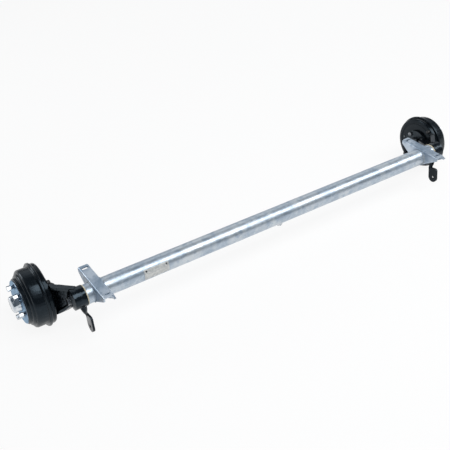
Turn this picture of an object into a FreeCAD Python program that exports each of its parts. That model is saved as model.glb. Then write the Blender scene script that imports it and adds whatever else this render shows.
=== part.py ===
import FreeCAD, Part
import math
import os

# Braked trailer axle: a round galvanised tube with a welded bracket near each end, a
# swing arm in a plastic bush at each end, sprung by packs of flat torsion leaves inside
# the tube, and a hub with a drum brake on each arm.
# Millimetres. The origin is the middle of the tube, on its axis. +Y runs along the tube
# to the left wheel, +X points forwards and +Z up. Each side is drawn on the left, where
# "out" is +Y, and mirrored for the right.

os.makedirs("parts", exist_ok=True)

# Clearances
press_gap = 0.05
running_gap = 0.05
face_gap = 0.3
bolt_gap = 0.2

# Axle tube
tube_diameter = 70.0
tube_wall = 5.0
tube_length = 1642.0

# Brackets
bracket_inset = 44.5
bracket_length = 200.0
bracket_width = 40.0
bracket_sheet = 5.5
bracket_end_depth = 17.0
bracket_bend_radius = 6.5
bracket_nose = 12.0
bracket_nose_drop = 3.0
slot_inset = 17.0
slot_width = 13.0
slot_length = 27.0

# Type plate
type_plate_length = 98.0
type_plate_height = 40.0
type_plate_sheet = 1.0
type_plate_inset = 260.0
type_plate_angle = 8.0
rivet_diameter = 4.0
rivet_head_diameter = 7.0
rivet_head_height = 1.8
rivet_inset = 9.0

# Torsion leaves and their anchor in the middle of the tube
leaf_width = 26.0
leaf_thickness = 4.1
leaf_count = 6
leaf_play = 0.2
leaf_gap = 0.16
anchor_length = 90.0
pack_gap = 8.0
anchor_screw_diameter = 16.0
anchor_head_across = 24.0
anchor_head_height = 10.0

# Bush at each tube end
bush_collar_diameter = 73.0
bush_collar_thickness = 4.0
bush_wall = 3.6
bush_length = 150.0

# Swing arm
arm_length = 157.0
arm_droop = 17.4
boss_diameter = 76.0
boss_length = 51.0
boss_end_wall = 22.0
boss_taper = 7.0
boss_end_diameter = 48.0
boss_edge = 2.0
arm_lip_height = 40.0
arm_lip_fall = 6.0
arm_foot_depth = 106.0
arm_lip_width = 18.0
arm_web = 8.0
arm_lip_thickness = 12.0
arm_diagonal_run = 63.0
arm_start_behind = 15.0
arm_start_inset = 33.0
arm_front_end = 8.0
arm_curve_x = -43.0
arm_curve_z = -72.0
arm_curve_top = 30.0
arm_foot_flat = 30.0
arm_outline_reach = 40.0
arm_body_inset = 10.0
arm_flange_diameter = 122.0
arm_root_radius = 28.0
arm_end_radius = 29.0
arm_flange_thickness = 12.0
retainer_diameter = 16.0
retainer_across = 24.0
retainer_head_height = 8.0
retainer_washer = 2.0

# Damper strap
strap_thickness = 8.0
strap_width = 44.0
strap_corner = 6.0
strap_offset = 8.6
strap_end_forward = 36.6
strap_end_below = 109.0
strap_top_forward = 30.0
strap_top_below = 66.0
strap_root_width = 26.0
strap_root_forward = 11.0
strap_root_sink = 6.0
strap_neck_width = 14.0
strap_twist = 50.0
strap_hole_diameter = 12.4

# Brake back plate
plate_setback = 37.2
plate_overhang = 23.0
plate_sheet = 4.0
plate_rim_depth = 16.0
plate_corner = 6.0
plate_bead_inset = 21.5
plate_bead_width = 4.0
plate_bead_depth = 1.2
plate_bolt_circle = 98.0
plate_bolt_diameter = 10.0
plate_bolt_across = 17.0
plate_bolt_head = 6.4
plate_bolt_head_room = 2.0
plate_bolt_head_reach = 60.0
plate_nut_height = 8.0
plug_angle = 54.5
plug_inset = 13.5
plug_diameter = 17.0
plug_head = 12.0
plug_room = 1.0
plug_step = 2.0
plug_end = 3.0
inlet_angle = -110.0
inlet_inset = 28.5
inlet_diameter = 16.0
inlet_bore = 8.0
inlet_length = 30.0
inlet_collar = 4.0

# Brake shoes
drum_bore = 200.0
lining_gap = 1.1
lining_thickness = 5.0
lining_angle = 55.0
shoe_table = 3.0
shoe_angle = 60.0
shoe_width = 50.0
shoe_web = 5.0
shoe_web_depth = 24.0
shoe_end_inset = 20.0
shoe_end_radius = 8.0
shoe_pivot_side = 20.0
shoe_plate_gap = 3.5
cam_width = 20.0
cam_height = 12.0
cam_pin_diameter = 10.0
lever_inset = 62.0
lever_width = 14.0
lever_thickness = 5.0
lever_angle = 150.0
lever_hole_diameter = 7.0
spring_diameter = 9.0
spring_hook = 2.5
spring_hook_step = 0.2
spring_inset = 42.0
adjuster_height = 18.0
adjuster_depth = 14.0
hold_down_diameter = 4.0
hold_down_cup = 16.0

# Drum and hub
drum_wall = 6.0
drum_skirt_offset = 7.0
drum_lip_offset = 17.5
drum_lip_width = 10.0
drum_lip_height = 11.0
drum_end_room = 5.0
drum_front_wall = 7.0
hub_step = 23.0
hub_face_inset = 26.5
hub_barrel_diameter = 84.0
hub_back_offset = 24.0
bolt_circle = 112.0
bolt_count = 5
bolt_first_angle = 60.0
bolt_diameter = 12.0
bolt_across = 17.0
bolt_head_height = 13.0
bolt_cone_height = 6.5
bolt_reach = 26.0

# Bearings, seal, spindle and cap
inner_bearing_bore = 30.0
outer_bearing_bore = 25.0
bearing_height = 16.0
race_wall = 3.5
roller_room = 9.0
roller_mid_angle = 12.5
roller_half_angle = 2.5
roller_length = 11.0
roller_count = 9
inner_bearing_inset = 8.0
outer_bearing_inset = 26.0
seal_width = 7.0
spindle_root_diameter = 40.0
spindle_collar_diameter = 46.0
spindle_collar_length = 20.0
nut_across = 36.0
nut_height = 12.0
nut_flange_diameter = 44.0
cap_diameter = 60.0
cap_height = 27.0
cap_wall = 1.5
cap_seat_depth = 8.0

# Values that follow from the sizes above
tube_radius = tube_diameter / 2
tube_bore_radius = tube_radius - tube_wall
tube_half = tube_length / 2
wheel_x = -arm_length * math.cos(math.radians(arm_droop))
wheel_z = -arm_length * math.sin(math.radians(arm_droop))
leaf_stack = leaf_count * leaf_thickness + (leaf_count - 1) * leaf_gap
socket_width = leaf_width + 2 * leaf_play
socket_height = leaf_stack + 2 * leaf_play
type_plate_centre = type_plate_inset - tube_half
boss_in = tube_half + bush_collar_thickness + face_gap
boss_out = boss_in + boss_length
bracket_spacing = tube_length - 2 * bracket_inset
plate_out = boss_out + plate_setback
shoe_in = plate_out + plate_sheet + shoe_plate_gap
shoe_centre_out = shoe_in + shoe_width / 2
drum_skirt_out = plate_out + drum_skirt_offset
drum_lip_out = plate_out + drum_lip_offset
drum_wall_in = shoe_in + shoe_width + drum_end_room
drum_front_out = drum_wall_in + drum_front_wall
hub_face_out = drum_front_out + hub_step
hub_back_out = plate_out + hub_back_offset
inner_bearing_out = hub_back_out + inner_bearing_inset
outer_bearing_out = hub_face_out - outer_bearing_inset
cap_out = hub_face_out + cap_height
bush_bore_radius = tube_bore_radius - press_gap - bush_wall
journal_radius = bush_bore_radius - running_gap
drum_radius = drum_bore / 2
drum_outer_radius = drum_radius + drum_wall
plate_diameter = drum_bore + plate_overhang
shoe_end_height = drum_radius - shoe_end_inset
spring_height = drum_radius - spring_inset
lever_length = drum_radius - lever_inset
lining_radius = drum_radius - lining_gap
table_radius = lining_radius - lining_thickness
nodes = {}


def vec(x, y, z):
    return FreeCAD.Vector(x, y, z)


def rod(radius, y_start, y_end, x=0.0, z=0.0):
    return Part.makeCylinder(radius, y_end - y_start, vec(x, y_start, z), vec(0, 1, 0))


def ring(outer, inner, y_start, y_end, x=0.0, z=0.0):
    return rod(outer, y_start, y_end, x, z).cut(rod(inner, y_start - 1, y_end + 1, x, z))


def turned(profile, x=0.0, z=0.0):
    # profile: (radius, y) points of a closed section, turned about a line along Y
    points = [vec(x + radius, y, z) for radius, y in profile]
    face = Part.Face(Part.makePolygon(points + points[:1]))
    return face.revolve(vec(x, 0, z), vec(0, 1, 0), 360)


def side_plate(outline, y_start, y_end):
    # outline: (x, z) points, or a wire that is already in the plane y = 0
    if isinstance(outline, Part.Wire):
        wire = outline.copy()
        wire.translate(vec(0, y_start, 0))
    else:
        wire = Part.makePolygon([vec(x, y_start, z) for x, z in outline + outline[:1]])
    return Part.Face(wire).extrude(vec(0, y_end - y_start, 0))


def plan_plate(outline, z_start, z_end):
    wire = Part.makePolygon([vec(x, y, z_start) for x, y in outline + outline[:1]])
    return Part.Face(wire).extrude(vec(0, 0, z_end - z_start))


def block(x_start, x_end, y_start, y_end, z_start, z_end):
    corner = vec(x_start, y_start, z_start)
    return Part.makeBox(x_end - x_start, y_end - y_start, z_end - z_start, corner)


def hexagon(across, y_start, y_end, x=0.0, z=0.0, turn=0.0):
    corner = across / math.sqrt(3)
    angles = [math.radians(60 * i + turn) for i in range(6)]
    points = [(x + corner * math.cos(a), z + corner * math.sin(a)) for a in angles]
    return side_plate(points, y_start, y_end)


def on_wheel(radius, degrees):
    angle = math.radians(degrees)
    return wheel_x + radius * math.cos(angle), wheel_z + radius * math.sin(angle)


def sector(outer, inner, half_angle, y_start, y_end, direction):
    # part of a ring about the wheel axis, centred on +X (direction 1) or -X (direction -1)
    def point(radius, degrees):
        angle = math.radians(degrees)
        x = wheel_x + direction * radius * math.cos(angle)
        return vec(x, y_start, wheel_z + radius * math.sin(angle))

    outer_points = [point(outer, turn) for turn in (-half_angle, 0, half_angle)]
    inner_points = [point(inner, turn) for turn in (half_angle, 0, -half_angle)]
    outer_arc = Part.Arc(*outer_points).toShape()
    inner_arc = Part.Arc(*inner_points).toShape()
    top = Part.makeLine(outer_points[2], inner_points[0])
    bottom = Part.makeLine(inner_points[2], outer_points[0])
    face = Part.Face(Part.Wire([outer_arc, top, inner_arc, bottom]))
    return face.extrude(vec(0, y_end - y_start, 0))


def keep(name, shape):
    nodes[name] = shape


def keep_pair(name, shape):
    # a piece that is there on both sides, drawn on the left
    keep(name + "_left", shape)
    keep(name + "_right", shape.mirror(vec(0, 0, 0), vec(0, 1, 0)))


# Axle tube, with a hole underneath for the anchor screw
def axle_tube():
    tube = ring(tube_radius, tube_bore_radius, -tube_half, tube_half)
    screw_radius = anchor_screw_diameter / 2 + bolt_gap
    hole = Part.makeCylinder(screw_radius, tube_diameter, vec(0, 0, 0), vec(0, 0, -1))
    return tube.cut(hole)


def anchor_block():
    body = rod(tube_bore_radius - press_gap, -anchor_length / 2, anchor_length / 2)
    half_width = socket_width / 2
    half_height = socket_height / 2
    socket = block(-half_width, half_width, -anchor_length, anchor_length, -half_height, half_height)
    screw_radius = anchor_screw_diameter / 2 + press_gap
    hole = Part.makeCylinder(screw_radius, tube_diameter, vec(0, 0, 0), vec(0, 0, -1))
    return body.cut(socket).cut(hole)


def anchor_screw():
    tip = socket_height / 2 + leaf_play
    seat = tube_radius + face_gap
    shank = Part.makeCylinder(anchor_screw_diameter / 2, seat - tip, vec(0, 0, -seat), vec(0, 0, 1))
    corner = anchor_head_across / math.sqrt(3)
    angles = [math.radians(60 * i) for i in range(7)]
    wire = Part.makePolygon([vec(corner * math.cos(a), corner * math.sin(a), -seat) for a in angles])
    return Part.Face(wire).extrude(vec(0, 0, -anchor_head_height)).fuse(shank)


# Bracket: an inverted channel folded from sheet, saddled over the tube and welded to it
def bracket(y_mid):
    top = tube_radius + face_gap + bracket_sheet
    half_length = bracket_length / 2
    half_width = bracket_width / 2
    saddle = tube_radius + face_gap
    corner_z = top - bracket_end_depth
    reach = math.hypot(half_length, corner_z)
    tangent = math.atan2(corner_z, half_length) - math.acos(saddle / reach)
    foot_x = saddle * math.cos(tangent)
    foot_z = saddle * math.sin(tangent)
    outline = [(-half_length, top), (half_length, top), (half_length, corner_z), (foot_x, foot_z),
               (-foot_x, foot_z), (-half_length, corner_z)]
    shell = side_plate(outline, y_mid - half_width, y_mid + half_width)
    bends = [edge for edge in shell.Edges
             if abs(edge.BoundBox.ZMin - top) < 0.01 and edge.BoundBox.XLength > half_length]
    shell = shell.makeFillet(bracket_bend_radius, bends)
    inside = half_width - bracket_sheet
    channel = block(-bracket_length, bracket_length, y_mid - inside, y_mid + inside,
                    -bracket_length, top - bracket_sheet)
    inner_bends = [edge for edge in channel.Edges
                   if abs(edge.BoundBox.ZMin - channel.BoundBox.ZMax) < 0.01
                   and edge.BoundBox.XLength > half_length]
    channel = channel.makeFillet(bracket_bend_radius - bracket_sheet + 0.5, inner_bends)
    nose = side_plate([(half_length, top - bracket_bend_radius),
                       (half_length + bracket_nose, top - bracket_bend_radius - bracket_nose_drop),
                       (half_length + bracket_nose / 2, corner_z), (half_length, corner_z)],
                      y_mid + inside, y_mid + half_width)
    shape = shell.cut(channel).fuse(nose).cut(rod(saddle, y_mid - bracket_width, y_mid + bracket_width))
    slot_x = half_length - slot_inset
    for x in (-slot_x, slot_x):
        shape = shape.cut(slot(x, y_mid, top))
    return shape.removeSplitter()


def slot(x, y_mid, top):
    radius = slot_width / 2
    straight = slot_length / 2 - radius
    low = top - 2 * bracket_sheet
    middle = block(x - radius, x + radius, y_mid - straight, y_mid + straight, low, top + 1)
    ends = [Part.makeCylinder(radius, top + 1 - low, vec(x, y_mid + end * straight, low)) for end in (-1, 1)]
    return middle.fuse(ends)


# Type plate: a thin blank plate bent round the front of the tube, held by two rivets
def type_plate():
    inner = tube_radius + face_gap
    half_angle = math.degrees(type_plate_height / 2 / inner)
    start = type_plate_centre - type_plate_length / 2
    band = ring(inner + type_plate_sheet, inner, start, start + type_plate_length)
    reach = tube_diameter
    lines = [math.radians(type_plate_angle + turn) for turn in (-half_angle, half_angle)]
    wedge = side_plate([(0, 0)] + [(reach * math.cos(a), reach * math.sin(a)) for a in lines],
                       start - 1, start + type_plate_length + 1)
    plate = band.common(wedge)
    for hole in plate_rivet_shapes(rivet_diameter / 2 + press_gap, 0):
        plate = plate.cut(hole)
    return plate


def plate_rivet_shapes(shank_radius, head_radius):
    shapes = []
    angle = math.radians(type_plate_angle + math.degrees(type_plate_height / 2 / tube_radius) - 12)
    direction = vec(math.cos(angle), 0, math.sin(angle))
    for end in (-1, 1):
        y = type_plate_centre + end * (type_plate_length / 2 - rivet_inset)
        start = vec(0, y, 0) + direction * (tube_radius + face_gap)
        height = type_plate_sheet + press_gap
        shank = Part.makeCylinder(shank_radius, height, start, direction)
        if head_radius:
            head_start = start + direction * height
            head = Part.makeCone(head_radius, head_radius * 0.55, rivet_head_height, head_start, direction)
            shank = shank.fuse(head)
        shapes.append(shank)
    return shapes


# Torsion leaves of one side, from the anchor block to the arm's boss
def torsion_leaves():
    inner_end = pack_gap / 2
    outer_end = boss_out - boss_end_wall - face_gap
    leaves = []
    pitch = leaf_thickness + leaf_gap
    for i in range(leaf_count):
        z = -leaf_stack / 2 + i * pitch
        leaves.append(block(-leaf_width / 2, leaf_width / 2, inner_end, outer_end, z, z + leaf_thickness))
    return Part.makeCompound(leaves)


# Plastic bush: a sleeve pressed into the tube, with a collar that shows at its end
def bush():
    collar = ring(bush_collar_diameter / 2, bush_bore_radius, tube_half, tube_half + bush_collar_thickness)
    sleeve = ring(tube_bore_radius - press_gap, bush_bore_radius, tube_half - bush_length, tube_half)
    return collar.fuse(sleeve).removeSplitter()


# Swing arm: a casting with a journal in the bush, a boss beside the tube, a diagonal
# channel with a lip above and below, and a round flange for the brake and the spindle
def swing_arm():
    taper_in = boss_out - boss_taper
    boss_radius = boss_diameter / 2
    end_radius = boss_end_diameter / 2
    boss = turned([(0, boss_in), (boss_radius, boss_in), (boss_radius, taper_in),
                   (end_radius, boss_out - boss_edge), (end_radius - boss_edge, boss_out), (0, boss_out)])
    journal = rod(journal_radius, tube_half - bush_length, boss_in + 1)
    flange_in = plate_out - arm_flange_thickness
    flange = rod(arm_flange_diameter / 2, flange_in, plate_out, wheel_x, wheel_z)
    shape = boss.fuse([journal, arm_body(), arm_channel(), flange])
    half_width = socket_width / 2
    half_height = socket_height / 2
    socket = block(-half_width, half_width, 0, boss_out - boss_end_wall, -half_height, half_height)
    retainer_hole = rod(retainer_diameter / 2 + press_gap, boss_in, boss_out + 1)
    spindle_hole = rod(spindle_root_diameter / 2 + press_gap, 0, plate_out + 1, wheel_x, wheel_z)
    shape = shape.cut(socket).cut(retainer_hole).cut(spindle_hole)
    head_room = plate_bolt_across / math.sqrt(3) + plate_bolt_head_room
    for x, z in plate_bolt_places():
        shape = shape.cut(rod(plate_bolt_diameter / 2 + bolt_gap, flange_in - 1, plate_out + 1, x, z))
        shape = shape.cut(rod(head_room, flange_in - plate_bolt_head_reach, flange_in, x, z))
    plug_radius = plug_diameter / 2 + plug_room
    for x, z in plug_places():
        shape = shape.cut(rod(plug_radius, plate_out - plug_head - plug_room, plate_out + 1, x, z))
    for x, z in hold_down_places():
        shape = shape.cut(rod(hold_down_diameter + 1, plate_out - 4, plate_out + 1, x, z))
    inlet_x, inlet_z = inlet_place()
    inlet_room = inlet_diameter / 2 + inlet_collar + face_gap
    shape = shape.cut(rod(inlet_room, plate_out - inlet_length, plate_out + 1, inlet_x, inlet_z))
    return shape.removeSplitter()


def arm_body():
    # solid behind the channel, from the boss to the spindle's seat in the flange
    across = math.atan2(wheel_z, wheel_x)
    spread = math.acos((arm_root_radius - arm_end_radius) / arm_length)

    def tangent(x, z, radius, turn):
        return x + radius * math.cos(across + turn), z + radius * math.sin(across + turn)

    outline = [tangent(0, 0, arm_root_radius, spread), tangent(wheel_x, wheel_z, arm_end_radius, spread),
               tangent(wheel_x, wheel_z, arm_end_radius, -spread), tangent(0, 0, arm_root_radius, -spread)]
    hull = side_plate(outline, 0, plate_out)
    seat = rod(arm_end_radius, 0, plate_out, wheel_x, wheel_z)
    inboard = boss_in + arm_body_inset
    top_view = [(0, inboard), (-boss_diameter / 2, inboard), (wheel_x + arm_end_radius, plate_out - 36),
                (wheel_x - arm_end_radius, plate_out - 24), (wheel_x - arm_end_radius, plate_out),
                (-arm_diagonal_run - arm_lip_width, plate_out), (-arm_start_behind, inboard + arm_body_inset)]
    return hull.fuse(seat).common(plan_plate(top_view, -boss_diameter * 3, boss_diameter))


def arm_channel():
    step = arm_lip_width / math.sqrt(2)
    web_step = arm_web / math.sqrt(2)
    start = vec(-arm_start_behind, boss_out - arm_start_inset, 0)
    run = plate_out - start.y
    rear = [(start.x, start.y), (start.x - run, plate_out)]
    front = [(start.x + step, start.y + step), (start.x + step - (run - step), plate_out)]
    web = [(start.x + web_step, start.y + web_step), (start.x + web_step - (run - web_step), plate_out)]
    strip = plan_plate([rear[0], rear[1], front[1], front[0]], -arm_length, arm_length)
    far = arm_length
    pocket_ends = [(x + far, y + far) for x, y in reversed(web)]
    pocket_plan = plan_plate(web + pocket_ends, -far, far)
    outline = arm_outline(0)
    inset = arm_outline(arm_lip_thickness)
    body = side_plate(outline, 0, plate_out).common(strip)
    pocket = side_plate(inset, 0, plate_out + 1).common(pocket_plan)
    return body.cut(pocket)


def arm_outline(inset):
    # side view of the channel: nearly level above, curving down to the flange below
    top = arm_lip_height - inset
    fall = arm_lip_fall
    left = -arm_diagonal_run - arm_outline_reach
    low = arm_foot_depth - inset
    start_low = -arm_curve_top + inset
    points = [vec(arm_front_end, 0, top), vec(left, 0, top - fall), vec(left, 0, -low)]
    foot = vec(-arm_diagonal_run - arm_foot_flat, 0, -low)
    middle = vec(arm_curve_x, 0, arm_curve_z + inset)
    last = vec(-arm_start_behind, 0, start_low)
    corner = vec(arm_front_end, 0, start_low)
    edges = [Part.makeLine(points[0], points[1]), Part.makeLine(points[1], points[2]),
             Part.makeLine(points[2], foot), Part.Arc(foot, middle, last).toShape(),
             Part.makeLine(last, corner), Part.makeLine(corner, points[0])]
    return Part.Wire(edges)


def retainer():
    head_in = boss_out + retainer_washer
    washer = ring(retainer_diameter, retainer_diameter / 2 + press_gap, boss_out, head_in)
    head = hexagon(retainer_across, head_in, head_in + retainer_head_height)
    shank = rod(retainer_diameter / 2, boss_out - boss_end_wall + 1, head_in + 1)
    return Part.makeCompound([washer, head.fuse(shank).removeSplitter()])


# Damper strap: a flat bar, its root welded along the boss and twisted a quarter turn into
# the blade, which has a hole for a damper
def damper_strap():
    mid = tube_half + strap_offset
    half_width = strap_width / 2
    half_thickness = strap_thickness / 2
    top = vec(strap_top_forward, 0, -strap_top_below)
    end = vec(strap_end_forward, 0, -strap_end_below)
    along = (end - top).normalize()
    side = vec(-along.z, 0, along.x)
    rear_top = top - side * half_width
    front_top = top + side * half_width
    blade = [rear_top, front_top - side * strap_corner, front_top + along * strap_corner,
             end + side * half_width, end - side * half_width]
    blade_start = mid - half_thickness
    blade_end = mid + half_thickness
    shape = side_plate([(point.x, point.z) for point in blade], blade_start, blade_end)
    root = vec(strap_root_forward, boss_in + 1 + strap_root_width / 2, strap_root_sink - boss_diameter / 2)
    foot = vec(rear_top.x + strap_neck_width / 2, mid, rear_top.z - strap_neck_width / 2)
    middle = (root + foot) * 0.5
    middle_width = (strap_root_width + strap_neck_width) / 2
    sections = [strap_section(root, 90, strap_root_width, strap_thickness),
                strap_section(middle, strap_twist, middle_width, strap_thickness),
                strap_section(foot, 0, strap_neck_width, strap_thickness - 1)]
    neck = Part.makeLoft(sections, True, True)
    shape = shape.fuse([rod(half_width, blade_start, blade_end, end.x, end.z), neck])
    shape = shape.cut(rod(strap_hole_diameter / 2, blade_start - 1, blade_end + 1, end.x, end.z))
    shape = shape.cut(rod(boss_diameter / 2 + press_gap, tube_half, boss_out))
    return shape.removeSplitter()


def strap_section(centre, degrees, width, thickness):
    # level section of the bar, its width turned this far from +X towards +Y
    angle = math.radians(degrees)
    reach = vec(math.cos(angle), math.sin(angle), 0) * (width / 2)
    half = vec(-math.sin(angle), math.cos(angle), 0) * (thickness / 2)
    corners = [centre - half - reach, centre - half + reach, centre + half + reach, centre + half - reach]
    return Part.makePolygon(corners + corners[:1])


# Spindle: pressed into the arm's flange, with a seat for each bearing and a thread end
def spindle():
    root = spindle_root_diameter / 2
    collar = spindle_collar_diameter / 2
    inner_seat = inner_bearing_bore / 2 - press_gap
    outer_seat = outer_bearing_bore / 2 - press_gap
    collar_end = inner_bearing_out
    inner_end = inner_bearing_out + bearing_height
    outer_start = outer_bearing_out
    nut_start = outer_bearing_out + bearing_height
    thread_end = nut_start + nut_height + 8
    profile = [(0, plate_out - 18), (root, plate_out - 18), (root, plate_out + face_gap),
               (collar, plate_out + face_gap), (collar, plate_out + spindle_collar_length),
               (root, plate_out + spindle_collar_length), (root, collar_end), (inner_seat, collar_end),
               (inner_seat, inner_end + 1), (inner_seat - 1.5, outer_start - 1), (outer_seat, outer_start),
               (outer_seat, thread_end - 2), (outer_seat - 2, thread_end), (0, thread_end)]
    return turned(profile, wheel_x, wheel_z)


# Back plate: a pressed dish that carries the shoes, with a rim inside the drum's lip
def plate_bolt_places():
    return [on_wheel(plate_bolt_circle / 2, 45 + 90 * i) for i in range(4)]


def back_plate():
    outer = plate_diameter / 2
    inner = spindle_collar_diameter / 2 + bolt_gap
    rim_end = plate_out + plate_rim_depth
    corner = plate_corner
    bead_in = outer - plate_bead_inset - plate_bead_width / 2
    bead_out = bead_in + plate_bead_width
    bead_floor = plate_out + plate_bead_depth
    profile = [(inner, plate_out), (bead_in, plate_out), (bead_in + plate_bead_depth, bead_floor),
               (bead_out - plate_bead_depth, bead_floor), (bead_out, plate_out),
               (outer - corner, plate_out), (outer - corner * 0.3, plate_out + corner * 0.3),
               (outer, plate_out + corner), (outer, rim_end), (outer - 3, rim_end),
               (outer - 3, plate_out + corner + 1.5), (outer - corner - 1.5, plate_out + plate_sheet),
               (inner, plate_out + plate_sheet)]
    shape = turned(profile, wheel_x, wheel_z)
    for x, z in plate_bolt_places():
        shape = shape.cut(rod(plate_bolt_diameter / 2 + bolt_gap, plate_out - 1, plate_out + 10, x, z))
    for x, z in plug_places():
        shape = shape.cut(rod(plug_diameter / 2 - plug_step, plate_out - 1, plate_out + 10, x, z))
    inlet_x, inlet_z = inlet_place()
    shape = shape.cut(rod(inlet_diameter / 2 + bolt_gap, plate_out - 1, plate_out + 10, inlet_x, inlet_z))
    cam_x, cam_z = cam_place()
    shape = shape.cut(rod(cam_pin_diameter / 2 + running_gap, plate_out - 1, plate_out + 10, cam_x, cam_z))
    for x, z in hold_down_places():
        shape = shape.cut(rod(hold_down_diameter / 2 + press_gap, plate_out - 1, plate_out + 10, x, z))
    return shape


def plate_bolts():
    flange_in = plate_out - arm_flange_thickness
    solids = []
    for x, z in plate_bolt_places():
        head = hexagon(plate_bolt_across, flange_in - plate_bolt_head, flange_in, x, z)
        nut_start = plate_out + plate_sheet
        shank = rod(plate_bolt_diameter / 2, flange_in, nut_start + plate_nut_height + 2, x, z)
        solids.append(head.fuse(shank).removeSplitter())
        nut = hexagon(plate_bolt_across, nut_start, nut_start + plate_nut_height, x, z)
        solids.append(nut.cut(rod(plate_bolt_diameter / 2 + press_gap, nut_start - 1, nut_start + 20, x, z)))
    return Part.makeCompound(solids)


def plug_places():
    return [on_wheel(plate_diameter / 2 - plug_inset, plug_angle + turn) for turn in (0, 180)]


def plugs():
    solids = []
    radius = plug_diameter / 2
    for x, z in plug_places():
        head = turned([(0, plate_out - plug_head), (radius * 0.5, plate_out - plug_head),
                       (radius * 0.87, plate_out - plug_head * 0.85), (radius, plate_out - plug_head * 0.6),
                       (radius, plate_out), (0, plate_out)], x, z)
        stem = rod(radius - plug_step - press_gap, plate_out, plate_out + plate_sheet + plug_end, x, z)
        solids.append(head.fuse(stem).removeSplitter())
    return Part.makeCompound(solids)


# Cable inlet: a short spigot that guides the brake cable through the back plate
def inlet_place():
    return on_wheel(plate_diameter / 2 - inlet_inset, inlet_angle)


def cable_inlet():
    x, z = inlet_place()
    outer = inlet_diameter / 2
    tube = ring(outer, inlet_bore / 2, plate_out - inlet_length + 8, plate_out + 8, x, z)
    collar = ring(outer + inlet_collar, outer, plate_out - inlet_collar, plate_out, x, z)
    return tube.fuse(collar).removeSplitter()


# Shoes: a curved table on a web, bonded lining outside, rounded end at the adjuster
def shoe_span():
    return shoe_centre_out - shoe_width / 2, shoe_centre_out + shoe_width / 2


def shoe(direction):
    start, end = shoe_span()
    table = sector(table_radius, table_radius - shoe_table, shoe_angle, start + 1, end - 1, direction)
    web_in = shoe_centre_out - shoe_web / 2
    web_out = shoe_centre_out + shoe_web / 2
    web = sector(table_radius - shoe_table, table_radius - shoe_table - shoe_web_depth, shoe_angle,
                 web_in, web_out, direction)
    pivot_x = wheel_x + direction * shoe_pivot_side
    top_z = wheel_z + shoe_end_height
    tip = rod(shoe_end_radius, web_in, web_out, pivot_x, top_z)
    inner = table_radius - shoe_table - shoe_web_depth
    outer = table_radius - shoe_table
    angle = math.radians(shoe_angle)
    top_arm = side_plate([(pivot_x, top_z + shoe_end_radius), (pivot_x, top_z - shoe_end_radius),
                          (wheel_x + direction * inner * math.cos(angle), wheel_z + inner * math.sin(angle)),
                          (wheel_x + direction * outer * math.cos(angle), wheel_z + outer * math.sin(angle))],
                         web_in, web_out)
    face_x = wheel_x + direction * (cam_width / 2 + face_gap)
    low_z = wheel_z - shoe_end_height
    low_arm = side_plate([(face_x, low_z - 12), (face_x, low_z + 4),
                          (wheel_x + direction * inner * math.cos(angle), wheel_z - inner * math.sin(angle)),
                          (wheel_x + direction * outer * math.cos(angle), wheel_z - outer * math.sin(angle))],
                         web_in, web_out)
    shape = table.fuse([web, tip, top_arm, low_arm])
    hold_x, hold_z = hold_down_place(direction)
    shape = shape.cut(rod(hold_down_diameter / 2 + 2, web_in - 5, web_out + 5, hold_x, hold_z))
    for z in (spring_height, -spring_height):
        hook_x = wheel_x + direction * spring_anchor_side(z)
        shape = shape.cut(rod(spring_hook / 2 + 0.5, web_in - 5, web_out + 5, hook_x, wheel_z + z))
    return shape.removeSplitter()


def lining(direction):
    start, end = shoe_span()
    return sector(lining_radius, table_radius, lining_angle, start, end, direction)


def spring_anchor_side(z):
    # where the web is, half way through its depth, at this height
    mid_radius = table_radius - shoe_table - shoe_web_depth / 2
    return math.sqrt(mid_radius ** 2 - z ** 2)


def shoe_springs():
    solids = []
    web_out = shoe_centre_out + shoe_web / 2
    body_out = web_out + spring_diameter / 2 + 1
    hook_radius = spring_hook / 2 + spring_hook_step
    for z in (spring_height, -spring_height):
        side = spring_anchor_side(z)
        height = wheel_z + z
        coil_start = vec(wheel_x - side / 2, body_out, height)
        coil = Part.makeCylinder(spring_diameter / 2, side, coil_start, vec(1, 0, 0))
        wires = []
        for direction in (-1, 1):
            hook_x = wheel_x + direction * side
            start = vec(hook_x, body_out, height)
            wires.append(Part.makeCylinder(spring_hook / 2, side / 2 + 1, start, vec(-direction, 0, 0)))
            wires.append(rod(hook_radius, web_out - shoe_web - 2, body_out + spring_hook, hook_x, height))
        solids.append(coil.fuse(wires).removeSplitter())
    return Part.makeCompound(solids)


# Adjuster: the fixed abutment between the shoes' upper ends, with a wedge bolt
def adjuster():
    top_z = wheel_z + shoe_end_height
    half = shoe_pivot_side
    body_out = shoe_centre_out + shoe_web / 2 + 4
    body = block(wheel_x - half, wheel_x + half, plate_out + plate_sheet, body_out,
                 top_z - adjuster_height / 2, top_z + adjuster_height / 2)
    for direction in (-1, 1):
        x = wheel_x + direction * half
        slot_in = shoe_centre_out - shoe_web / 2 - face_gap
        slot_out = shoe_centre_out + shoe_web / 2 + 10
        room = rod(shoe_end_radius + face_gap, slot_in, slot_out, x, top_z)
        body = body.cut(room)
    foot = block(wheel_x - half + 4, wheel_x + half - 4, plate_out + plate_sheet, plate_out + plate_sheet + 6,
                 top_z - adjuster_depth, top_z + adjuster_depth)
    return body.fuse(foot).removeSplitter()


# Expander: a cam between the shoes' lower ends, its pin in the plate and its lever
def cam_place():
    return wheel_x, wheel_z - shoe_end_height - 4


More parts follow.
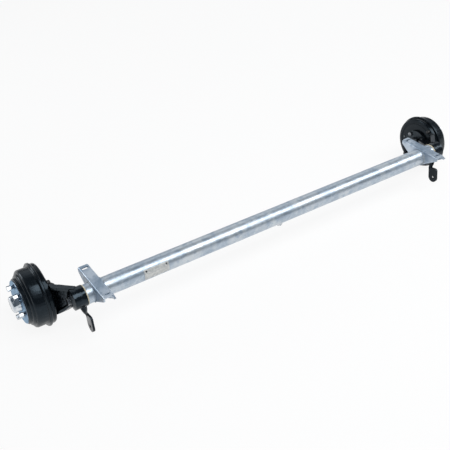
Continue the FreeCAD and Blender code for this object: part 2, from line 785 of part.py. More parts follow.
def brake_lever():
    x, z = cam_place()
    pin = rod(cam_pin_diameter / 2, plate_out + 0.5, shoe_centre_out + 6, x, z)
    cam = block(x - cam_width / 2, x + cam_width / 2, shoe_centre_out - 6, shoe_centre_out + 6,
                z - cam_height / 2, z + cam_height / 2)
    lever_in = plate_out + plate_sheet + 4
    lever_out = lever_in + lever_thickness
    angle = math.radians(lever_angle)
    end_x = x + lever_length * math.cos(angle)
    end_z = z + lever_length * math.sin(angle)
    half = lever_width / 2
    side_x = -half * math.sin(angle)
    side_z = half * math.cos(angle)
    arm = side_plate([(x + side_x, z + side_z), (end_x + side_x, end_z + side_z),
                      (end_x - side_x, end_z - side_z), (x - side_x, z - side_z)], lever_in, lever_out)
    ends = [rod(half, lever_in, lever_out, x, z), rod(half, lever_in, lever_out, end_x, end_z)]
    shape = cam.fuse([pin, arm] + ends)
    return shape.cut(rod(lever_hole_diameter / 2, lever_in - 1, lever_out + 1, end_x, end_z)).removeSplitter()


def hold_down_place(direction):
    mid_radius = table_radius - shoe_table - shoe_web_depth / 2
    return wheel_x + direction * mid_radius, wheel_z


def hold_down_places():
    return [hold_down_place(direction) for direction in (-1, 1)]


def hold_downs():
    solids = []
    web_out = shoe_centre_out + shoe_web / 2
    for x, z in hold_down_places():
        pin = rod(hold_down_diameter / 2, plate_out, web_out + 12, x, z)
        head = rod(hold_down_diameter, plate_out - 1.5, plate_out, x, z)
        cup = rod(hold_down_cup / 2, web_out + face_gap, web_out + 9, x, z)
        solids.append(pin.fuse([head, cup]).removeSplitter())
    return Part.makeCompound(solids)


# Hub and drum, one casting: braking ring with a lip, front wall, hub flange and barrel
def bearing_outer_radius(bore):
    return bore / 2 + 2 * race_wall + roller_room


def brake_drum():
    lip = drum_outer_radius + drum_lip_height
    face = drum_outer_radius - hub_face_inset
    barrel = hub_barrel_diameter / 2
    inner_seat = bearing_outer_radius(inner_bearing_bore) + press_gap
    outer_seat = bearing_outer_radius(outer_bearing_bore) + press_gap
    cap_seat = cap_diameter / 2 - cap_wall + 0.5
    inner_end = inner_bearing_out + bearing_height
    outer_end = outer_bearing_out + bearing_height
    wall_in = drum_wall_in
    lip_end = drum_lip_out + drum_lip_width
    front = drum_front_out
    profile = [
        (inner_seat, hub_back_out), (barrel - 4, hub_back_out), (barrel, hub_back_out + 4),
        (barrel, wall_in - 12), (barrel + 8, wall_in), (drum_radius - 6, wall_in), (drum_radius, wall_in - 4),
        (drum_radius, drum_skirt_out), (drum_outer_radius - 2, drum_skirt_out),
        (drum_outer_radius, drum_skirt_out + 2), (drum_outer_radius, drum_lip_out), (lip - 2, drum_lip_out),
        (lip, drum_lip_out + 2),
        (lip, lip_end - 3), (lip - 3, lip_end), (drum_outer_radius + 2, lip_end),
        (drum_outer_radius, lip_end + 2), (drum_outer_radius, front - 8),
        (drum_outer_radius - 2.5, front - 3), (drum_outer_radius - 7, front),
        (drum_outer_radius - 11, front), (drum_outer_radius - 12, front + 4),
        (drum_outer_radius - 16, front + 8), (face + 6, front + 9),
        (face + 4, hub_face_out - 6), (face, hub_face_out - 4), (face, hub_face_out - 1),
        (face - 1, hub_face_out), (cap_seat, hub_face_out), (cap_seat, outer_end + 0.5),
        (outer_seat, outer_end + 0.5), (outer_seat, outer_bearing_out), (outer_seat - 4, outer_bearing_out),
        (outer_seat - 4, inner_end), (inner_seat, inner_end)]
    shape = turned(profile, wheel_x, wheel_z)
    for x, z in wheel_bolt_places():
        shape = shape.cut(rod(bolt_diameter / 2 + press_gap, drum_radius, hub_face_out + 1, x, z))
    return shape


def wheel_bolt_places():
    step = 360 / bolt_count
    return [on_wheel(bolt_circle / 2, bolt_first_angle + step * i) for i in range(bolt_count)]


def wheel_bolts():
    solids = []
    for x, z in wheel_bolt_places():
        cone = Part.makeCone(bolt_diameter / 2, bolt_across / 2, bolt_cone_height,
                             vec(x, hub_face_out + face_gap, z), vec(0, 1, 0))
        head_in = hub_face_out + face_gap + bolt_cone_height
        head = hexagon(bolt_across, head_in, head_in + bolt_head_height, x, z, 15)
        shank = rod(bolt_diameter / 2, hub_face_out - bolt_reach + 4, hub_face_out + face_gap, x, z)
        solids.append(head.fuse([cone, shank]).removeSplitter())
    return Part.makeCompound(solids)


# Taper roller bearings: cup in the hub, cone on the spindle, rollers between them.
# The two races and the rollers taper to one point on the wheel axis.
def bearing_values(bore):
    cone_radius = bore / 2 + race_wall
    mid_radius = cone_radius + roller_room / 2
    apex = mid_radius / math.tan(math.radians(roller_mid_angle))
    return mid_radius, apex


def race_radius(bore, offset, half_turn, gap):
    # radius of a race at this distance from the bearing's middle, along the axis
    mid_radius, apex = bearing_values(bore)
    angle = math.radians(roller_mid_angle + half_turn)
    return (apex + offset) * math.tan(angle) + gap


def bearing(bore, y_start, direction):
    # direction 1: the wide end of the taper points outwards
    mid = y_start + bearing_height / 2
    half = bearing_height / 2
    cone_profile = []
    cup_profile = []
    for end in (-1, 1):
        offset = end * half
        y = mid + direction * offset
        cone_profile.append((race_radius(bore, offset, -roller_half_angle, -running_gap / 2), y))
        cup_profile.append((race_radius(bore, offset, roller_half_angle, running_gap / 2), y))
    inner = bore / 2
    outer = bearing_outer_radius(bore)
    cone_profile = [(inner, cone_profile[0][1])] + cone_profile + [(inner, cone_profile[1][1])]
    cup_profile = [(outer, cup_profile[0][1])] + cup_profile + [(outer, cup_profile[1][1])]
    cone = turned(cone_profile, wheel_x, wheel_z)
    cup = turned(cup_profile, wheel_x, wheel_z)
    rollers = []
    mid_radius, apex = bearing_values(bore)
    tilt = math.radians(roller_mid_angle)
    distance = mid_radius / math.sin(tilt)
    taper = math.tan(math.radians(roller_half_angle))
    ends = [distance + end * roller_length / 2 for end in (-1, 1)]
    radii = [reach * taper - running_gap for reach in ends]
    for i in range(roller_count):
        turn = 2 * math.pi * i / roller_count
        outward = vec(math.cos(turn), 0, math.sin(turn))
        axis = vec(0, direction * math.cos(tilt), 0) + outward * math.sin(tilt)
        tip = vec(wheel_x, mid - direction * apex, wheel_z)
        rollers.append(Part.makeCone(radii[0], radii[1], roller_length, tip + axis * ends[0], axis))
    return cup, cone, rollers


def seal():
    outer = bearing_outer_radius(inner_bearing_bore)
    inner = spindle_root_diameter / 2 + running_gap
    start = hub_back_out + 0.5
    return ring(outer, inner, start, start + seal_width, wheel_x, wheel_z)


def axle_nut():
    start = outer_bearing_out + bearing_height + face_gap
    flange = rod(nut_flange_diameter / 2, start, start + 3, wheel_x, wheel_z)
    body = hexagon(nut_across, start + 3, start + nut_height, wheel_x, wheel_z)
    hole = rod(outer_bearing_bore / 2, start - 1, start + nut_height + 1, wheel_x, wheel_z)
    return flange.fuse(body).cut(hole).removeSplitter()


def grease_cap():
    outer = cap_diameter / 2
    seat = outer - cap_wall + 0.5 - press_gap
    inner = seat - cap_wall
    rim = outer + cap_wall
    cap_in = hub_face_out - cap_seat_depth
    profile = [(inner, cap_in), (seat, cap_in), (seat, hub_face_out), (rim, hub_face_out),
               (rim, hub_face_out + 2), (outer, hub_face_out + 3), (outer, cap_out - 4),
               (outer - 1.2, cap_out - 1.2), (outer - 4, cap_out), (0, cap_out), (0, cap_out - cap_wall),
               (outer - 5, cap_out - cap_wall), (outer - cap_wall - 0.5, cap_out - 5),
               (inner, hub_face_out + 3)]
    return turned(profile, wheel_x, wheel_z)


# Build every piece
keep("axle_tube", axle_tube())
keep("anchor_block", anchor_block())
keep("anchor_screw", anchor_screw())
keep("type_plate", type_plate())
keep("plate_rivets", Part.makeCompound(plate_rivet_shapes(rivet_diameter / 2, rivet_head_diameter / 2)))
keep("bracket_left", bracket(bracket_spacing / 2))
keep("bracket_right", bracket(-bracket_spacing / 2))
keep_pair("bush", bush())
keep_pair("torsion_leaves", torsion_leaves())
keep_pair("swing_arm", swing_arm())
keep_pair("retaining_bolt", retainer())
keep_pair("damper_strap", damper_strap())
keep_pair("spindle", spindle())
keep_pair("back_plate", back_plate())
keep_pair("back_plate_bolts", plate_bolts())
keep_pair("inspection_plugs", plugs())
keep_pair("cable_inlet", cable_inlet())
keep_pair("shoe_front", shoe(1))
keep_pair("shoe_rear", shoe(-1))
keep_pair("lining_front", lining(1))
keep_pair("lining_rear", lining(-1))
keep_pair("shoe_springs", shoe_springs())
keep_pair("adjuster", adjuster())
keep_pair("brake_lever", brake_lever())
keep_pair("hold_downs", hold_downs())
keep_pair("brake_drum", brake_drum())
keep_pair("wheel_bolts", wheel_bolts())
inner_cup, inner_cone, inner_rollers = bearing(inner_bearing_bore, inner_bearing_out, -1)
outer_cup, outer_cone, outer_rollers = bearing(outer_bearing_bore, outer_bearing_out, 1)
keep_pair("bearing_cups", Part.makeCompound([inner_cup, outer_cup]))
keep_pair("bearing_cones", Part.makeCompound([inner_cone, outer_cone]))
keep_pair("bearing_rollers", Part.makeCompound(inner_rollers + outer_rollers))
keep_pair("hub_seal", seal())
keep_pair("axle_nut", axle_nut())
keep_pair("grease_cap", grease_cap())

for name, shape in nodes.items():
    if not shape.isValid() or not shape.Solids:
        print("not a valid solid:", name)
    shape.exportStep("parts/" + name + ".step")
print(len(nodes), "nodes written")
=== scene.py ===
import math

import bmesh
import bpy
from mathutils import Matrix, Vector


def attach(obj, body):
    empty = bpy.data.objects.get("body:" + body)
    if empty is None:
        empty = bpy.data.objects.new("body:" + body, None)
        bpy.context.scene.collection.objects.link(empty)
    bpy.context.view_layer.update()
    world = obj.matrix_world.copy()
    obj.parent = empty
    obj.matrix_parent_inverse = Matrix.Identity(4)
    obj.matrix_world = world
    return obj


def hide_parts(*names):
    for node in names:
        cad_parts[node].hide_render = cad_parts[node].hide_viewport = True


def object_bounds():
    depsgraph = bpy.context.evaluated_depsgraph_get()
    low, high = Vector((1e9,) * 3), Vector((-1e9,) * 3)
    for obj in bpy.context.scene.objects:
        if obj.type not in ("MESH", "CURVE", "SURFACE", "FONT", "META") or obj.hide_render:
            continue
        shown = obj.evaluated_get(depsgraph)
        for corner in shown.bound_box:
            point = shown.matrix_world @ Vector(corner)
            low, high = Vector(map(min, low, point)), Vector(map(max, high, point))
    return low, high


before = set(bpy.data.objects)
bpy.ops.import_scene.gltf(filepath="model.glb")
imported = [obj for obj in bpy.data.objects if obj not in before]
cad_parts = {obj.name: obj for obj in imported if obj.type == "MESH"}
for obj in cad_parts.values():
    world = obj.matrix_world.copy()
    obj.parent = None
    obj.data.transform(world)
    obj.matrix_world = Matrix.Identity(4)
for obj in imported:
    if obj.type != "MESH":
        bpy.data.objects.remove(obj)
cad_box = [list(corner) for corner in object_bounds()]
sides = {"left": 1, "right": -1}

# Axle tube: drawn steel tube, hot-dip galvanised. The zinc has a faint crystal pattern,
# cloudy grey patches where it has dulled, and a soft sheen.
tube_dark = (0.40, 0.48, 0.57)
tube_pale = (0.52, 0.59, 0.66)
tube_bright = (0.62, 0.67, 0.71)
cloud_detail = 4.0
zinc_crystal_scale = 130
zinc_bright_scale = 9
zinc_dark_scale = 34
zinc_sheen_scale = 22
zinc_smooth = 0.3
zinc_dull = 0.44
zinc_metallic = 0.8
zinc_skin_scale = 260
zinc_skin_strength = 0.25
zinc_skin_height = 0.0004
merge_distance = 0.00001
flat_within_degrees = 0.5
bevel_from_degrees = 40


def output_socket(group, name, kind):
    group.interface.new_socket(name=name, in_out="OUTPUT", socket_type=kind)


def input_socket(group, name, value, kind="NodeSocketFloat"):
    socket = group.interface.new_socket(name=name, in_out="INPUT", socket_type=kind)
    socket.default_value = value


def cloud_group():
    # a soft cloudy mask: 0 where the noise is under Low and 1 where it is over High
    group = bpy.data.node_groups.new("clouds", "ShaderNodeTree")
    input_socket(group, "Scale", 10.0)
    input_socket(group, "Low", 0.4)
    input_socket(group, "High", 0.6)
    output_socket(group, "Mask", "NodeSocketFloat")
    nodes = group.nodes
    start = nodes.new("NodeGroupInput")
    end = nodes.new("NodeGroupOutput")
    place = nodes.new("ShaderNodeTexCoord")
    noise = nodes.new("ShaderNodeTexNoise")
    noise.inputs["Detail"].default_value = cloud_detail
    band = nodes.new("ShaderNodeMapRange")
    group.links.new(place.outputs["Object"], noise.inputs["Vector"])
    group.links.new(start.outputs["Scale"], noise.inputs["Scale"])
    group.links.new(noise.outputs["Fac"], band.inputs["Value"])
    group.links.new(start.outputs["Low"], band.inputs["From Min"])
    group.links.new(start.outputs["High"], band.inputs["From Max"])
    group.links.new(band.outputs["Result"], end.inputs["Mask"])
    return group


clouds = cloud_group()


def new_material(name):
    material = bpy.data.materials.new(name)
    material.use_nodes = True
    return material, material.node_tree, material.node_tree.nodes["Principled BSDF"]


def cloud(tree, scale, low, high):
    node = tree.nodes.new("ShaderNodeGroup")
    node.node_tree = clouds
    node.inputs["Scale"].default_value = scale
    node.inputs["Low"].default_value = low
    node.inputs["High"].default_value = high
    return node.outputs["Mask"]


def blend_colours(tree, mask, first, second):
    # first and second are plain colours or the sockets of earlier blends
    node = tree.nodes.new("ShaderNodeMix")
    node.data_type = "RGBA"
    tree.links.new(mask, node.inputs["Factor"])
    for socket, colour in ((node.inputs["A"], first), (node.inputs["B"], second)):
        if isinstance(colour, bpy.types.NodeSocket):
            tree.links.new(colour, socket)
        else:
            socket.default_value = (*colour, 1)
    return node.outputs["Result"]


def spread(tree, mask, low, high):
    node = tree.nodes.new("ShaderNodeMapRange")
    node.inputs["To Min"].default_value = low
    node.inputs["To Max"].default_value = high
    tree.links.new(mask, node.inputs["Value"])
    return node.outputs["Result"]


def rough_skin(tree, shader, height, strength, distance):
    node = tree.nodes.new("ShaderNodeBump")
    node.inputs["Strength"].default_value = strength
    node.inputs["Distance"].default_value = distance
    tree.links.new(height, node.inputs["Height"])
    tree.links.new(node.outputs["Normal"], shader.inputs["Normal"])


def crystals(tree, scale):
    place = tree.nodes.new("ShaderNodeTexCoord")
    cells = tree.nodes.new("ShaderNodeTexVoronoi")
    cells.inputs["Scale"].default_value = scale
    tree.links.new(place.outputs["Object"], cells.inputs["Vector"])
    grey = tree.nodes.new("ShaderNodeSeparateColor")
    tree.links.new(cells.outputs["Color"], grey.inputs["Color"])
    return grey.outputs["Red"]


def galvanised_material(name, dark, pale, bright):
    material, tree, shader = new_material(name)
    base = blend_colours(tree, crystals(tree, zinc_crystal_scale), dark, pale)
    base = blend_colours(tree, cloud(tree, zinc_bright_scale, 0.42, 0.62), base, bright)
    base = blend_colours(tree, cloud(tree, zinc_dark_scale, 0.50, 0.66), base, dark)
    tree.links.new(base, shader.inputs["Base Color"])
    sheen = spread(tree, cloud(tree, zinc_sheen_scale, 0.35, 0.65), zinc_smooth, zinc_dull)
    tree.links.new(sheen, shader.inputs["Roughness"])
    shader.inputs["Metallic"].default_value = zinc_metallic
    skin = cloud(tree, zinc_skin_scale, 0.2, 0.8)
    rough_skin(tree, shader, skin, zinc_skin_strength, zinc_skin_height)
    return material


tube_zinc = galvanised_material("tube_zinc", tube_dark, tube_pale, tube_bright)


def merged_copy(node, name):
    # the CAD node's shape with its triangles joined and its flat faces whole
    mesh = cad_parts[node].data.copy()
    mesh.name = name
    shape = bmesh.new()
    shape.from_mesh(mesh)
    bmesh.ops.remove_doubles(shape, verts=shape.verts, dist=merge_distance)
    bmesh.ops.dissolve_limit(shape, angle_limit=math.radians(flat_within_degrees),
                             verts=shape.verts, edges=shape.edges)
    shape.to_mesh(mesh)
    shape.free()
    return mesh


def show_as(mesh, name, material, body, slot, *nodes, round_edge=0.0008, smooth_degrees=32):
    mesh.materials.clear()
    mesh.materials.append(material)
    for face in mesh.polygons:
        face.use_smooth = True
    mesh.set_sharp_from_angle(angle=math.radians(smooth_degrees))
    piece = bpy.data.objects.new(name, mesh)
    bpy.context.scene.collection.objects.link(piece)
    if round_edge:
        bevel = piece.modifiers.new("rounded edges", "BEVEL")
        bevel.width = round_edge
        bevel.segments = 2
        bevel.limit_method = "ANGLE"
        bevel.angle_limit = math.radians(bevel_from_degrees)
        bevel.harden_normals = True
    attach(piece, body)
    if nodes:
        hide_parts(*nodes)


def finish_node(node, material):
    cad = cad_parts[node]
    cad.data.materials.clear()
    cad.data.materials.append(material)


def dress(node, material, body, slot, **how):
    show_as(merged_copy(node, node + "_shown"), node + "_shown", material, body, slot, node, **how)


dress("axle_tube", tube_zinc, "axle", "galvanised")

# Brackets: folded from steel sheet, saddled over the tube and galvanised with it. The
# folds are rounded and catch the light as a thin bright line.
bracket_dark = (0.26, 0.34, 0.43)
bracket_pale = (0.38, 0.46, 0.56)
bracket_bright = (0.52, 0.59, 0.67)
bracket_fold = 0.0016
bracket_zinc = galvanised_material("bracket_zinc", bracket_dark, bracket_pale, bracket_bright)
for side in sides:
    dress("bracket_" + side, bracket_zinc, "axle", "galvanised", round_edge=bracket_fold)

# Weld beads: each bracket's two side walls are welded to the tube all the way round their
# saddle. The bead is a row of overlapping ripples under the zinc.
weld_dark = (0.30, 0.37, 0.44)
weld_pale = (0.46, 0.52, 0.58)
weld_bright = (0.62, 0.64, 0.64)
bracket_middle = 0.7765
bead_off_middle = 0.0206
bead_radius = 0.0362
bead_start = math.radians(-52)
bead_sweep = math.radians(284)
bead_size = 0.0026
bead_ripples = 74
bead_seeds = {-1: 2, 1: 4}


def add_node(tree, kind, **values):
    node = tree.nodes.new(kind)
    for name, value in values.items():
        setattr(node, name, value)
    return node


def bead_tree():
    tree = bpy.data.node_groups.new("weld_bead", "GeometryNodeTree")
    inputs = {"Radius": "Float", "Start": "Float", "Sweep": "Float", "Size": "Float",
              "Ripples": "Int", "Seed": "Int", "Material": "Material"}
    for name, kind in inputs.items():
        tree.interface.new_socket(name=name, in_out="INPUT", socket_type="NodeSocket" + kind)
    output_socket(tree, "Geometry", "NodeSocketGeometry")
    start = add_node(tree, "NodeGroupInput")
    end = add_node(tree, "NodeGroupOutput")
    arc = add_node(tree, "GeometryNodeCurveArc")
    arc.inputs["Resolution"].default_value = 180
    stand = add_node(tree, "GeometryNodeTransform")
    stand.inputs["Rotation"].default_value = (math.radians(90), 0, 0)
    points = add_node(tree, "GeometryNodeCurveToPoints", mode="COUNT")
    ball = add_node(tree, "GeometryNodeMeshUVSphere")
    ball.inputs["Segments"].default_value = 10
    ball.inputs["Rings"].default_value = 6
    squash = add_node(tree, "GeometryNodeTransform")
    squash.inputs["Scale"].default_value = (0.95, 0.8, 0.7)
    size = add_node(tree, "FunctionNodeRandomValue", data_type="FLOAT")
    size.inputs[2].default_value = 0.85
    size.inputs[3].default_value = 1.15
    place = add_node(tree, "GeometryNodeInstanceOnPoints")
    real = add_node(tree, "GeometryNodeRealizeInstances")
    smooth = add_node(tree, "GeometryNodeSetShadeSmooth")
    coat = add_node(tree, "GeometryNodeSetMaterial")
    link = tree.links.new
    link(start.outputs["Radius"], arc.inputs["Radius"])
    link(start.outputs["Start"], arc.inputs["Start Angle"])
    link(start.outputs["Sweep"], arc.inputs["Sweep Angle"])
    link(arc.outputs["Curve"], stand.inputs["Geometry"])
    link(stand.outputs["Geometry"], points.inputs["Curve"])
    link(start.outputs["Ripples"], points.inputs["Count"])
    link(start.outputs["Size"], ball.inputs["Radius"])
    link(ball.outputs["Mesh"], squash.inputs["Geometry"])
    link(points.outputs["Points"], place.inputs["Points"])
    link(squash.outputs["Geometry"], place.inputs["Instance"])
    link(points.outputs["Rotation"], place.inputs["Rotation"])
    link(start.outputs["Seed"], size.inputs["Seed"])
    link(size.outputs[1], place.inputs["Scale"])
    link(place.outputs["Instances"], real.inputs["Geometry"])
    link(real.outputs["Geometry"], smooth.inputs["Geometry"])
    link(smooth.outputs["Geometry"], coat.inputs["Geometry"])
    link(start.outputs["Material"], coat.inputs["Material"])
    link(coat.outputs["Geometry"], end.inputs["Geometry"])
    return tree


def made_mesh(name, tree, values):
    # the mesh that a geometry tree makes with these inputs, with no modifier left on it
    holder = bpy.data.objects.new(name + "_maker", bpy.data.meshes.new(name + "_start"))
    bpy.context.scene.collection.objects.link(holder)
    maker = holder.modifiers.new("maker", "NODES")
    maker.node_group = tree
    for item in tree.interface.items_tree:
        if item.in_out == "INPUT":
            maker[item.identifier] = values[item.name]
    bpy.context.view_layer.update()
    result = holder.evaluated_get(bpy.context.evaluated_depsgraph_get())
    mesh = bpy.data.meshes.new_from_object(result)
    mesh.name = name
    holder.modifiers.remove(maker)
    bpy.data.objects.remove(holder)
    return mesh


weld_zinc = galvanised_material("weld_zinc", weld_dark, weld_pale, weld_bright)
welds = bead_tree()
for side, sign in sides.items():
    for wall in (-1, 1):
        name = "weld_bead_" + side + ("_inner" if wall * sign < 0 else "_outer")
        values = {"Radius": bead_radius, "Start": bead_start, "Sweep": bead_sweep,
                  "Size": bead_size, "Ripples": bead_ripples, "Seed": bead_seeds[wall],
                  "Material": weld_zinc}
        bead = made_mesh(name, welds, values)
        along = sign * bracket_middle + wall * bead_off_middle
        bead.transform(Matrix.Translation((0, along, 0)))
        show_as(bead, name, weld_zinc, "axle", "galvanised", round_edge=0.0, smooth_degrees=80)

# Black castings and pressings: the swing arms, damper straps and brake back plates, in
# glossy black paint. The castings' skin is lumpy, the pressings' nearly even.
paint_dark = (0.003, 0.004, 0.005)
paint_pale = (0.009, 0.011, 0.014)
# painted reflection colour: the black paint's reflections are tinted blue, which stands in for bluish light
blue_reflection_tint = (0.62, 0.82, 1.0, 1)
paint_smooth = 0.12
paint_dull = 0.24
paint_skin_height = 0.001
plate_edge = 0.0004


def black_material(name, skin_strength, skin_scale, gloss):
    material, tree, shader = new_material(name)
    worn = cloud(tree, 60, 0.5, 0.75)
    base = blend_colours(tree, worn, paint_dark, paint_pale)
    tree.links.new(base, shader.inputs["Base Color"])
    sheen = spread(tree, cloud(tree, 40, 0.3, 0.7), paint_smooth, paint_dull)
    tree.links.new(sheen, shader.inputs["Roughness"])
    shader.inputs["Specular IOR Level"].default_value = gloss
    # painted reflection colour: blue tint on the paint's reflections
    shader.inputs["Specular Tint"].default_value = blue_reflection_tint
    rough_skin(tree, shader, cloud(tree, skin_scale, 0.3, 0.7), skin_strength, paint_skin_height)
    return material


cast_black = black_material("cast_black", skin_strength=0.9, skin_scale=55, gloss=0.45)
pressed_black = black_material("pressed_black", skin_strength=0.15, skin_scale=60, gloss=0.25)
for side in sides:
    arm = "arm_" + side
    dress("swing_arm_" + side, cast_black, arm, "black_paint")
    dress("damper_strap_" + side, pressed_black, arm, "black_paint")
    dress("back_plate_" + side, pressed_black, arm, "black_paint", round_edge=plate_edge)
    dress("cable_inlet_" + side, pressed_black, arm, "black_paint")

# Drum and hub: one iron casting, painted black all over. The face that the wheel sits on
# is machined bare afterwards, so the paint ends just short of it.
hub_face_out = 1.0060
paint_end = hub_face_out - 0.0020
bare_start = hub_face_out - 0.0012
bare_dark = (0.15, 0.19, 0.24)
bare_pale = (0.30, 0.35, 0.42)
drum_smooth = 0.24
drum_dull = 0.36
drum_gloss = 0.4
drum_skin_strength = 0.12


def drum_material():
    material, tree, shader = new_material("drum_black_and_bare")
    place = tree.nodes.new("ShaderNodeTexCoord")
    parts = tree.nodes.new("ShaderNodeSeparateXYZ")
    tree.links.new(place.outputs["Object"], parts.inputs["Vector"])
    out = tree.nodes.new("ShaderNodeMath")
    out.operation = "ABSOLUTE"
    tree.links.new(parts.outputs["Y"], out.inputs[0])
    bare = tree.nodes.new("ShaderNodeMapRange")
    bare.inputs["From Min"].default_value = paint_end
    bare.inputs["From Max"].default_value = bare_start
    tree.links.new(out.outputs[0], bare.inputs["Value"])
    paint = blend_colours(tree, cloud(tree, 60, 0.5, 0.75), paint_dark, paint_pale)
    steel = blend_colours(tree, cloud(tree, 120, 0.4, 0.6), bare_dark, bare_pale)
    base = blend_colours(tree, bare.outputs["Result"], paint, steel)
    tree.links.new(base, shader.inputs["Base Color"])
    tree.links.new(bare.outputs["Result"], shader.inputs["Metallic"])
    sheen = spread(tree, cloud(tree, 50, 0.3, 0.7), drum_smooth, drum_dull)
    tree.links.new(sheen, shader.inputs["Roughness"])
    shader.inputs["Specular IOR Level"].default_value = drum_gloss
    # painted reflection colour: blue tint on the drum paint's reflections
    shader.inputs["Specular Tint"].default_value = blue_reflection_tint
    rough_skin(tree, shader, cloud(tree, 80, 0.3, 0.7), drum_skin_strength, paint_skin_height)
    return material


drum_finish = drum_material()
for side in sides:
    dress("brake_drum_" + side, drum_finish, "wheel_" + side, "drum_paint")

# Bright metal: zinc-plated screws, turned and forged, and the grease caps, which are
# pressed from thin plated sheet. The bolts on the black pieces get a darker copy of the zinc: painted shade.
metal_skin_strength = 0.1
metal_skin_height = 0.0003
wheel_bolt_edge = 0.0006
small_bolt_edge = 0.0004


def metal_material(name, dark, pale, smooth, dull):
    material, tree, shader = new_material(name)
    base = blend_colours(tree, cloud(tree, 80, 0.4, 0.65), dark, pale)
    tree.links.new(base, shader.inputs["Base Color"])
    sheen = spread(tree, cloud(tree, 160, 0.3, 0.7), smooth, dull)
    tree.links.new(sheen, shader.inputs["Roughness"])
    shader.inputs["Metallic"].default_value = 1.0
    skin = cloud(tree, 320, 0.3, 0.7)
    rough_skin(tree, shader, skin, metal_skin_strength, metal_skin_height)
    return material


bright_zinc = metal_material("bright_zinc", dark=(0.45, 0.49, 0.53), pale=(0.72, 0.74, 0.76),
                             smooth=0.18, dull=0.32)
# painted shade: a darkened copy of the zinc, which dims the bolts on the black pieces as if they sat in
# shadow
shaded_zinc = metal_material("shaded_zinc", dark=(0.10, 0.11, 0.12), pale=(0.28, 0.30, 0.32),
                           smooth=0.25, dull=0.4)
cap_steel = metal_material("cap_steel", dark=(0.50, 0.55, 0.60), pale=(0.74, 0.77, 0.80),
                           smooth=0.10, dull=0.2)
for side in sides:
    arm = "arm_" + side
    wheel = "wheel_" + side
    dress("wheel_bolts_" + side, bright_zinc, wheel, "zinc", round_edge=wheel_bolt_edge)
    dress("grease_cap_" + side, cap_steel, wheel, "cap_steel", round_edge=0.0)
    # painted shade on the retaining bolt, back plate bolts and hold-downs: the darkened zinc copy
    dress("retaining_bolt_" + side, shaded_zinc, arm, "zinc")
    dress("back_plate_bolts_" + side, shaded_zinc, arm, "zinc", round_edge=small_bolt_edge)
    finish_node("axle_nut_" + side, bright_zinc)
    finish_node("adjuster_" + side, bright_zinc)
    finish_node("hold_downs_" + side, shaded_zinc)
    finish_node("brake_lever_" + side, bright_zinc)
dress("anchor_screw", bright_zinc, "axle", "zinc")

# Bushes: moulded in cream bearing plastic and pushed into the tube's ends, so that only
# the collar shows.


def plain_material(name, dark, pale, smooth, dull, scale=70, metallic=0.0):
    material, tree, shader = new_material(name)
    base = blend_colours(tree, cloud(tree, scale, 0.4, 0.65), dark, pale)
    tree.links.new(base, shader.inputs["Base Color"])
    sheen = spread(tree, cloud(tree, scale * 2, 0.3, 0.7), smooth, dull)
    tree.links.new(sheen, shader.inputs["Roughness"])
    shader.inputs["Metallic"].default_value = metallic
    return material


cream_plastic = plain_material("cream_plastic", dark=(0.62, 0.53, 0.36), pale=(0.74, 0.66, 0.48),
                               smooth=0.4, dull=0.6)
for side in sides:
    dress("bush_" + side, cream_plastic, "axle", "bush_plastic")

# Type plate: a blank plate of thin sheet metal, bent to the tube and held by two dark
# rivets.
thin_edge = 0.0003
plate_metal = plain_material("plate_metal", dark=(0.55, 0.56, 0.55), pale=(0.72, 0.72, 0.69),
                             smooth=0.35, dull=0.5, scale=120, metallic=0.3)
rivet_steel = metal_material("rivet_steel", dark=(0.05, 0.05, 0.06), pale=(0.12, 0.12, 0.13),
                             smooth=0.3, dull=0.5)
dress("type_plate", plate_metal, "axle", "plate_metal", round_edge=thin_edge)
dress("plate_rivets", rivet_steel, "axle", "rivet", round_edge=thin_edge)

# Rubber: the moulded inspection plugs, pushed into the back plates, and the hub seals,
# pressed in behind the inner bearings.
black_rubber = plain_material("black_rubber", dark=(0.010, 0.011, 0.012), pale=(0.022, 0.023, 0.025),
                              smooth=0.35, dull=0.55)
for side in sides:
    dress("inspection_plugs_" + side, black_rubber, "arm_" + side, "rubber", round_edge=0.0)
    finish_node("hub_seal_" + side, black_rubber)

# Inner pieces: torsion leaves, springs, shoes, spindles and bearings of plain steel, and
# the shoes' friction linings. None of them shows from outside.
spring_steel = metal_material("spring_steel", dark=(0.12, 0.12, 0.13), pale=(0.24, 0.24, 0.25),
                              smooth=0.3, dull=0.5)
bearing_steel = metal_material("bearing_steel", dark=(0.55, 0.56, 0.58), pale=(0.66, 0.67, 0.69),
                               smooth=0.08, dull=0.18)
raw_steel = metal_material("raw_steel", dark=(0.32, 0.32, 0.33), pale=(0.46, 0.46, 0.47),
                           smooth=0.28, dull=0.45)
friction = plain_material("friction_lining", dark=(0.10, 0.08, 0.07), pale=(0.19, 0.16, 0.14),
                          smooth=0.7, dull=0.9, scale=300)
finish_node("anchor_block", raw_steel)
for side in sides:
    for node in ("torsion_leaves_", "shoe_springs_"):
        finish_node(node + side, spring_steel)
    for node in ("bearing_cups_", "bearing_cones_", "bearing_rollers_"):
        finish_node(node + side, bearing_steel)
    for node in ("spindle_", "shoe_front_", "shoe_rear_"):
        finish_node(node + side, raw_steel)
    for node in ("lining_front_", "lining_rear_"):
        finish_node(node + side, friction)

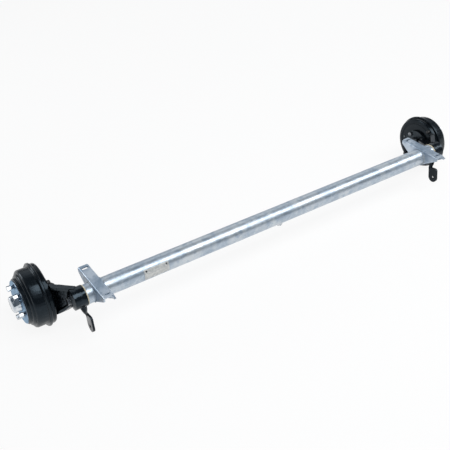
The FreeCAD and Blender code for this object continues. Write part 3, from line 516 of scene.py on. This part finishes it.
# Floor: a plain white floor just under the brake drums. It renders white to the eye and
# in reflections, and keeps a faint shadow.
floor_gap = 0.0005
floor_height = cad_box[0][2] - floor_gap
floor_reach = 14.0
floor_grey = (0.9, 0.9, 0.9, 1)
floor_glow = 0.9
floor_mesh = bpy.data.meshes.new("floor")
corners = [(x * floor_reach, y * floor_reach, floor_height) for x, y in ((-1, -1), (1, -1), (1, 1), (-1, 1))]
floor_mesh.from_pydata(corners, [], [(0, 1, 2, 3)])
floor = bpy.data.objects.new("floor", floor_mesh)
bpy.context.scene.collection.objects.link(floor)
floor_white, floor_tree, floor_shader = new_material("floor_white")
floor_shader.inputs["Base Color"].default_value = floor_grey
floor_shader.inputs["Roughness"].default_value = 0.9
floor_shader.inputs["Specular IOR Level"].default_value = 0.1
light_path = floor_tree.nodes.new("ShaderNodeLightPath")
glow = floor_tree.nodes.new("ShaderNodeEmission")
seen = floor_tree.nodes.new("ShaderNodeMath")
seen.operation = "MAXIMUM"
seen_any = floor_tree.nodes.new("ShaderNodeMath")
seen_any.operation = "MAXIMUM"
glow_share = floor_tree.nodes.new("ShaderNodeMath")
glow_share.operation = "MULTIPLY"
glow_share.inputs[1].default_value = floor_glow
mix = floor_tree.nodes.new("ShaderNodeMixShader")
floor_tree.links.new(light_path.outputs["Is Camera Ray"], seen.inputs[0])
floor_tree.links.new(light_path.outputs["Is Glossy Ray"], seen.inputs[1])
floor_tree.links.new(seen.outputs[0], seen_any.inputs[0])
floor_tree.links.new(light_path.outputs["Is Transmission Ray"], seen_any.inputs[1])
floor_tree.links.new(seen_any.outputs[0], glow_share.inputs[0])
floor_tree.links.new(glow_share.outputs[0], mix.inputs["Fac"])
floor_tree.links.new(floor_shader.outputs["BSDF"], mix.inputs[1])
floor_tree.links.new(glow.outputs["Emission"], mix.inputs[2])
floor_tree.links.new(mix.outputs["Shader"], floor_tree.nodes["Material Output"].inputs["Surface"])
floor_mesh.materials.append(floor_white)

# Light: a pale room, one long soft lamp high in front of the axle that draws the bright
# line along the tube, a wide panel behind, and a small lamp for the near folds and rims.
room_colour = (0.66, 0.78, 0.92, 1)
room_strength = 0.18
world = bpy.data.worlds.new("pale_room")
world.use_nodes = True
room = world.node_tree.nodes["Background"]
room.inputs["Color"].default_value = room_colour
room.inputs["Strength"].default_value = room_strength
bpy.context.scene.world = world


def soft_lamp(name, place, aim, width, length, power):
    lamp = bpy.data.lights.new(name, "AREA")
    lamp.shape = "RECTANGLE"
    lamp.size = width
    lamp.size_y = length
    lamp.energy = power
    holder = bpy.data.objects.new(name, lamp)
    down = (Vector(place) - Vector(aim)).normalized()
    along = Vector((0, 1, 0))
    across = along.cross(down).normalized()
    along = down.cross(across)
    turn = Matrix((across, along, down)).transposed().to_4x4()
    holder.matrix_world = Matrix.Translation(place) @ turn
    bpy.context.scene.collection.objects.link(holder)


soft_lamp("long_lamp", place=(1.36, 1.7, 2.67), aim=(0, 1.7, 0), width=1.5, length=6.4, power=130)
soft_lamp("back_panel", place=(-3.0, 1.2, 2.3), aim=(0, 0, 0), width=3.0, length=6.0, power=38)
soft_lamp("rim_lamp", place=(-2.5, -2.6, 1.1), aim=(0, -0.8, 0), width=0.8, length=1.2, power=22)

# Camera: in front of the axle's right-hand end, above it, looking along it to the left.
photo_size = 450
photo_focal = 733.34
film_width = 36.0
camera_place = Vector((1.8432, -1.4574, 1.6003))
camera_look = Vector((-0.6847, 0.4481, -0.5747)).normalized()
camera_right = Vector((0.5593, 0.8288, -0.0201)).normalized()
camera_up = camera_right.cross(camera_look).normalized()
camera = bpy.data.cameras.new("camera")
camera.sensor_width = film_width
camera.lens = photo_focal / photo_size * film_width
camera_holder = bpy.data.objects.new("camera", camera)
turn = Matrix((camera_up.cross(-camera_look), camera_up, -camera_look)).transposed().to_4x4()
camera_holder.matrix_world = Matrix.Translation(camera_place) @ turn
bpy.context.scene.collection.objects.link(camera_holder)
bpy.context.scene.camera = camera_holder
bpy.context.scene.view_settings.view_transform = "Standard"
